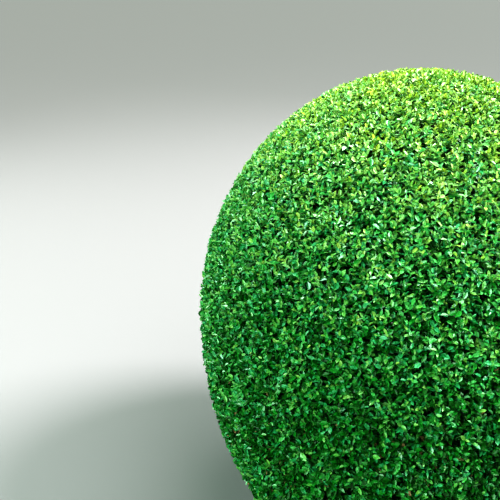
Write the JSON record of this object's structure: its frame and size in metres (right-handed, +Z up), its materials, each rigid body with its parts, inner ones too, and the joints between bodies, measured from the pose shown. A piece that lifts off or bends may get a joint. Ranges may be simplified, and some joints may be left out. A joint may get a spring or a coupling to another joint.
{
  "type": "clipped box topiary ball shrub",
  "caption": "Large evergreen box shrub clipped to a ball a little taller than wide, rooted in the ground, with dense small-leaved foliage down to a narrower foot and a short stem hidden inside.",
  "frame": {"origin": "middle of the stem's flat cut at ground level", "axes": "+Z straight up from the ground; -Y towards the picture's camera, +X to its right"},
  "size_m": [1.2043, 1.2113, 1.3385],
  "materials": {
    "bark": "rough, finely cracked grey-brown bark",
    "leaf": "small glossy evergreen leaves, fresh green on top, darker and bluer low down"
  },
  "bodies": {
    "root": {"stem": "bark", "foliage_ball": "leaf"}
  },
  "joints": []
}
